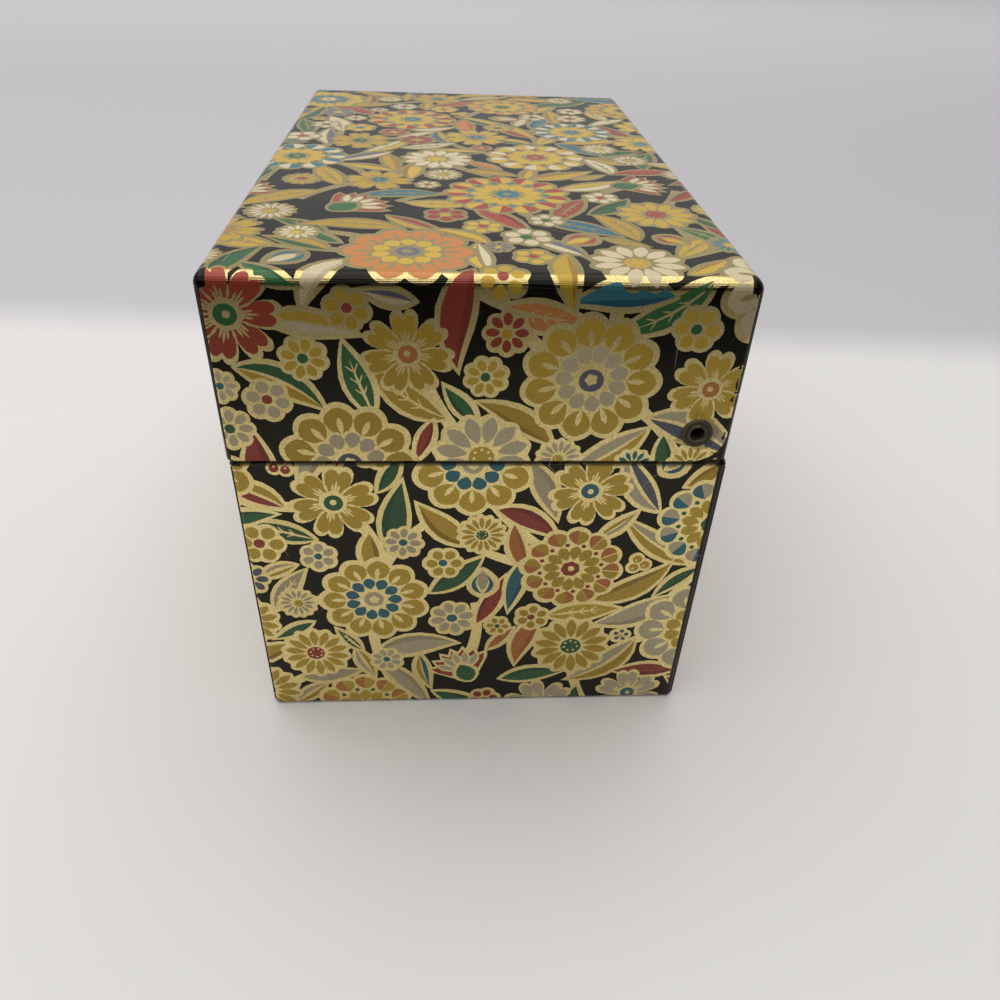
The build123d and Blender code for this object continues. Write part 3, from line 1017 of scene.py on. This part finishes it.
for degrees in (0, 25, 50):
    past = down(seam_z + hem_bend * (1 - math.radians(degrees)))
    for side in (-1, 1):
        lid_folds.append(((side * (flat_x + past), -hem_corner), (side * (flat_x + past), hem_end)))
    lid_folds.append(((-hem_side, -flat_y - past), (hem_side, -flat_y - past)))
end_corner, front_corner = lid_half_depth - lid_corner, lid_end - lid_corner
for round_corner in (0.0, 0.3, 0.6):
    for side in (-1, 1):
        v = -(end_corner + round_corner)
        lid_folds.append(((side * (flat_x + turn), v), (side * (flat_x + turn + side_drop), v)))
        u = side * (front_corner + round_corner)
        lid_folds.append(((u, -flat_y - turn), (u, -flat_y - turn - side_drop)))


def fold_arm(past, along, start, end_face, corner_from, hem_z):
    """Place on an arm: distance out, distance along the wall, height, and the normal's parts."""
    angle = np.clip(past, 0, turn) / top_bend
    radius = top_bend + FILM
    out = start + radius * np.sin(angle)
    height = lid_top - top_bend + radius * np.cos(angle) - np.clip(past - turn, 0, None)
    n_out, n_up = np.sin(angle), np.cos(angle)
    under = np.clip(past - down(hem_z + hem_bend), 0, None) / hem_bend
    out = np.where(under > 0, end_face - hem_bend + (hem_bend + FILM) * np.cos(under), out)
    height = np.where(under > 0, hem_z + hem_bend - (hem_bend + FILM) * np.sin(under), height)
    n_out = np.where(under > 0, np.cos(under), n_out)
    n_up = np.where(under > 0, -np.sin(under), n_up)
    side = np.sign(along)
    swing = np.clip((np.abs(along) - corner_from) / lid_corner, 0, None) * (past > turn - 1e-6)
    out = np.where(swing > 0, end_face - lid_corner + (lid_corner + FILM) * np.cos(swing), out)
    along = np.where(swing > 0, side * (corner_from + (lid_corner + FILM) * np.sin(swing)), along)
    return out, along, height, n_out * np.cos(swing), side * n_out * np.sin(swing), n_up


def fold_lid(flat):
    """Folds the lid's blank: its points and their normals."""
    u, v = flat[:, 0], flat[:, 1]
    past_u, past_v = np.abs(u) - flat_x, np.abs(v) - flat_y
    on_end = (past_u > past_v) & (past_u > 0)
    on_side = ~on_end & (past_v > 0)
    points = np.stack([u, v, np.full(len(u), lid_top + FILM)], 1)
    normals = np.tile((0.0, 0.0, 1.0), (len(u), 1))
    hem_z = np.where(v < hem_end + 0.02, seam_z, 0)      # the ears behind it have no hem
    out, along, height, n_out, n_along, n_up = fold_arm(past_u, v, flat_x, lid_end, end_corner, hem_z)
    end_points = np.stack([np.sign(u) * out, along, height], 1)
    end_normals = np.stack([np.sign(u) * n_out, n_along, n_up], 1)
    hem_z = np.where(v < 0, seam_z, 0)                   # nor has the back wall, as far as it is printed
    out, along, height, n_out, n_along, n_up = fold_arm(
        past_v, u, flat_y, lid_half_depth, front_corner, hem_z)
    side_points = np.stack([along, np.sign(v) * out, height], 1)
    side_normals = np.stack([n_along, np.sign(v) * n_out, n_up], 1)
    points = np.where(on_end[:, None], end_points, np.where(on_side[:, None], side_points, points))
    normals = np.where(on_end[:, None], end_normals, np.where(on_side[:, None], side_normals, normals))
    return points + (0, lid_middle_y, 0), normals


flat, triangles, inks, tones = cut_into_inks(lid_blank, lid_region, lid_holes, lid_folds)
folded, normals = fold_lid(flat)
chart_width = 2.02 * (flat_x + turn + side_drop)     # a little more than the cross is long
chart = flat[triangles] / chart_width + 0.5
make_film("lid_print", "lid", triangles, inks, tones, folded, normals, chart)

# ---------------------------------------------------------------- print on the base
# The base's walls carry the same lacquered print, from part way round the bottom bend up over the
# slope to the rim of the neck that the lid covers. It runs round both front corners without a
# break, and only the corners of the slope and of the neck are left black.
base_end, base_front, base_back = 68.05, -41.925, 42.075
neck_end, neck_front, neck_back = 67.35, -41.025, 41.725
body_corner, bottom_bend, shoulder_z, neck_z = 1.5, 1.0, 59.5, 60.3
end_run = base_back - base_front - 2 * body_corner
front_run = 2 * (base_end - body_corner)
corner_run = body_corner * math.pi / 2
front_from = end_run + corner_run
right_from = front_from + front_run + corner_run
back_from = right_from + end_run + corner_run
print_low = bottom_bend - bottom_bend * math.radians(70)
print_high = rim_z - 0.3
corner_low = bottom_bend + 0.05
body_high = shoulder_z - 0.02
neck_edge = 0.55    # the neck is a little shorter than the body, so its print ends sooner
bare_edge = 0.1     # left black along the two corners at the back
bare_bend = 0.15    # and beside the front corners, under which the bottom bend is cut
base_hole = 2.1     # radius of the print's hole, hidden under the lid's ear

wall_runs = [
    (0, end_run), (front_from, front_from + front_run), (right_from, right_from + end_run),
    (back_from, back_from + front_run),
]


def neck_outline(start, end):
    """Up over the slope and round the neck, from a wall's end back to its start."""
    first, last = start + neck_edge, end - neck_edge
    return [(last, body_high), (last, print_high), (first, print_high), (first, body_high)]


low_edge = []
for start, end in wall_runs[:3]:
    first = bare_edge if start == 0 else bare_bend
    last = bare_edge if start == right_from else bare_bend
    low_edge += [(start + first, corner_low), (start + first, print_low)]
    low_edge += [(end - last, print_low), (end - last, corner_low)]
wrap = low_edge[1:-1] + [(right_from + end_run - bare_edge, body_high)]
for start, end in wall_runs[2::-1]:
    wrap += neck_outline(start, end)
wrap.append((bare_edge, body_high))
start, end = wall_runs[3]
first, last = start + bare_edge, end - bare_edge
back_wall = [(first, print_low), (last, print_low), (last, body_high), *neck_outline(start, end)]
back_wall.append((first, body_high))
base_region = [wrap, back_wall]
base_blank = new_blank(-1, print_low - 1, back_from + front_run + 1, print_high + 1, base_region)
compose(base_blank, seed=5)
base_holes = [
    disc(base_hole, base_back - body_corner - hinge_y, hinge_z),
    disc(base_hole, right_from + hinge_y - base_front - body_corner, hinge_z),
]
base_folds = [((0, level), (back_from + front_run, level)) for level in (shoulder_z, neck_z)]
for k in range(STRIPS + 1):
    z = bottom_bend * (1 - math.pi / 2 * k / STRIPS)
    base_folds.append(((0, z), (back_from + front_run, z)))
    for start in (end_run, front_from + front_run):
        s = start + corner_run * k / STRIPS
        base_folds.append(((s, corner_low), (s, body_high)))


def fold_base(flat):
    """Folds the base's strip round the walls: its points and their normals."""
    s, z = flat[:, 0], flat[:, 1]
    front_s, right_s, back_s = s - front_from, s - right_from, s - back_from
    # the faces: left wall, left corner, front wall, right corner, right wall, back wall
    before_end = [s < end_run, s < front_from, front_s <= front_run, s < right_from, s < back_from - 1]
    number = np.select(before_end, [0, 1, 2, 3, 4], 5)
    face = [number == k for k in range(6)]
    inset = np.select(
        [face[0] | face[4], face[2], face[5]],
        [base_end - neck_end, neck_front - base_front, base_back - neck_back])
    up = np.clip((z - shoulder_z) / (neck_z - shoulder_z), 0, 1)
    angle = np.clip(bottom_bend - z, 0, None) / bottom_bend
    inward = inset * up + bottom_bend * (1 - np.cos(angle))
    height = np.where(angle > 0, bottom_bend - bottom_bend * np.sin(angle), z)
    n_out, n_up = np.cos(angle), -np.sin(angle)
    x0, y0, y1 = base_end - body_corner, base_front + body_corner, base_back - body_corner
    turned_left = (s - end_run) / body_corner
    turned_right = (front_s - front_run) / body_corner
    zero = np.zeros(len(s))
    centre_x = np.select(face, [zero - x0, zero - x0, front_s - x0, zero + x0, zero + x0, x0 - back_s])
    centre_y = np.select(face, [y1 - s, zero + y0, zero + y0, zero + y0, y0 + right_s, zero + y1])
    dir_x = np.select(face, [zero - 1, -np.cos(turned_left), zero, np.sin(turned_right), zero + 1, zero])
    dir_y = np.select(face, [zero, -np.sin(turned_left), zero - 1, -np.cos(turned_right), zero, zero + 1])
    reach = body_corner - inward
    points = np.stack([centre_x + dir_x * reach, centre_y + dir_y * reach, height], 1)
    normals = np.stack([dir_x * n_out, dir_y * n_out, n_up], 1)
    return points + normals * FILM, normals


flat, triangles, inks, tones = cut_into_inks(base_blank, base_region, base_holes, base_folds)
folded, normals = fold_base(flat)
# its chart has two rows: the front and the left end, then the back and the right end
corners = flat[triangles]
middle = corners.mean(axis=1)[:, 0]
gap = 2.0
front_width = front_run + 2 * corner_run + gap
on_back, on_right, on_front = middle > back_from - 1, middle > right_from - corner_run / 2, middle > end_run
shift_along = np.select(
    [on_back, on_right, on_front],
    [-back_from, front_width - right_from + corner_run, -end_run], front_width)
shift_up = np.where(on_right, print_high - print_low + gap, 0.0) - print_low
corners = corners + np.stack([shift_along, shift_up], 1)[:, None, :]
chart = corners / (front_width + end_run + corner_run + gap) * 0.99 + 0.004
make_film("base_print", "base", triangles, inks, tones, folded, normals, chart)

# ---------------------------------------------------------------- table, light and camera
# A pale table under one large soft lamp overhead, with the room's dim light from every side.
# In mirror-like reflections the table is dark in front of the box, a painted reflection of shade where the
# room's light ends; to the camera it glows a little, as painted light.
table_half = 2.5
table_corners = [(x * table_half, y * table_half, 0) for x, y in ((-1, -1), (1, -1), (1, 1), (-1, 1))]
table_mesh = bpy.data.meshes.new("table")
table_mesh.from_pydata(table_corners, [], [(0, 1, 2, 3)])
table = bpy.data.objects.new("table", table_mesh)
bpy.context.scene.collection.objects.link(table)
table_white, tree, surface = new_finish("white_table")
spot = put(tree, "TexCoord").outputs["Object"]
parts = axes(tree, spot)
ray = put(tree, "LightPath").outputs
aslant = sums(tree, "MULTIPLY_ADD", parts["Y"], -0.06, parts["X"])
behind = ramp(tree, aslant, -0.135, -0.095, 1.0, 0.0)
seen = blend(tree, behind, linear(238, 236, 233), linear(205, 203, 205))
seen = blend(tree, sums(tree, "MULTIPLY", noise(tree, spot, 9.0, 3.0), 0.1), seen, linear(190, 187, 184))
# painted reflection: in mirror-like reflections the table turns nearly black from 0.14 m to 0.29 m in front
# of the box, standing in for shade there
in_front = ramp(tree, parts["X"], 0.14, 0.29, 0.0, 0.96)
mirrored = blend(tree, in_front, seen, linear(20, 20, 20))
# to light that bounces off it the table is darker, (112, 108, 99), than it shows to the camera, which leaves
# the box's walls in more shade
shown = blend(tree, ray["Is Camera Ray"], linear(112, 108, 99), seen)
# painted light: to the camera only, the table glows (emission up to 0.16) far behind the box and on its left
# side, though it is no lamp
far_away = ramp(tree, parts["X"], -1.4, -0.25, 1.0, 0.0)
lit_side = ramp(tree, parts["Y"], -0.13, 0.0, 0.22, 0.0)
painted_glow = sums(tree, "MULTIPLY", ray["Is Camera Ray"], sums(tree, "MAXIMUM", far_away, lit_side))
feed(tree, surface, {
    "Base Color": blend(tree, ray["Is Glossy Ray"], shown, mirrored),
    "Roughness": 0.6,
    "Specular IOR Level": 0.1,
    "Emission Color": blend(tree, painted_glow, (0.0, 0.0, 0.0, 1.0), (0.16, 0.155, 0.16, 1.0)),
    "Emission Strength": 1.0,
})
table_mesh.materials.append(table_white)

lamp_data = bpy.data.lights.new("overhead_softbox", "AREA")
lamp_data.shape = "RECTANGLE"
lamp_data.size, lamp_data.size_y = 3.6, 3.4
lamp_data.energy = 50.0
lamp = bpy.data.objects.new("overhead_softbox", lamp_data)
lamp.location = (0.34, -0.52, 2.1)
bpy.context.scene.collection.objects.link(lamp)


def between(tree, share, first, second):
    """A number between two others, which a Mix node takes at its sockets 2 and 3."""
    return put(tree, "Mix", {0: share, 2: first, 3: second}, data_type="FLOAT").outputs[0]


# the room is dim on the side that the camera looks from, and dimmer still in reflections
lit, lit_in_gloss, backdrop = 1.0, 0.62, 0.95
world = bpy.data.worlds.new("room")
bpy.context.scene.world = world
world.use_nodes = True
tree = world.node_tree
tree.nodes.clear()
ray = put(tree, "LightPath").outputs
ahead = axes(tree, put(tree, "TexCoord").outputs["Generated"])["X"]
dim = ramp(tree, ahead, -0.55, 0.5, 1.0, 0.03)
dim = sums(tree, "MULTIPLY", dim, between(tree, ray["Is Glossy Ray"], lit, lit_in_gloss))
strength = between(tree, ray["Is Camera Ray"], dim, backdrop)
room_light = put(tree, "Background", {"Color": linear(212, 211, 212), "Strength": strength})
put(tree, "OutputWorld", {"Surface": room_light.outputs["Background"]})

# the camera, fitted to the box's corners as they stand in the picture
camera_place = (0.1815, -0.005775, 0.13626)
yaw, pitch, roll = (math.radians(a) for a in (-4.534, 36.373, 2.525))
look = Vector((-math.cos(yaw) * math.cos(pitch), -math.sin(yaw) * math.cos(pitch), -math.sin(pitch)))
level_right = look.cross(Vector((0, 0, 1))).normalized()
level_up = level_right.cross(look)
right = math.cos(roll) * level_right + math.sin(roll) * level_up
up = -math.sin(roll) * level_right + math.cos(roll) * level_up
camera_data = bpy.data.cameras.new("camera")
camera_data.lens, camera_data.sensor_width = 29.37, 36.0
camera_data.clip_start = 0.005
camera = bpy.data.objects.new("camera", camera_data)
turn_to = Matrix((right, up, -look)).transposed().to_4x4()
camera.matrix_world = Matrix.Translation(camera_place) @ turn_to
bpy.context.scene.collection.objects.link(camera)
bpy.context.scene.camera = camera
bpy.context.scene.view_settings.view_transform = "Standard"
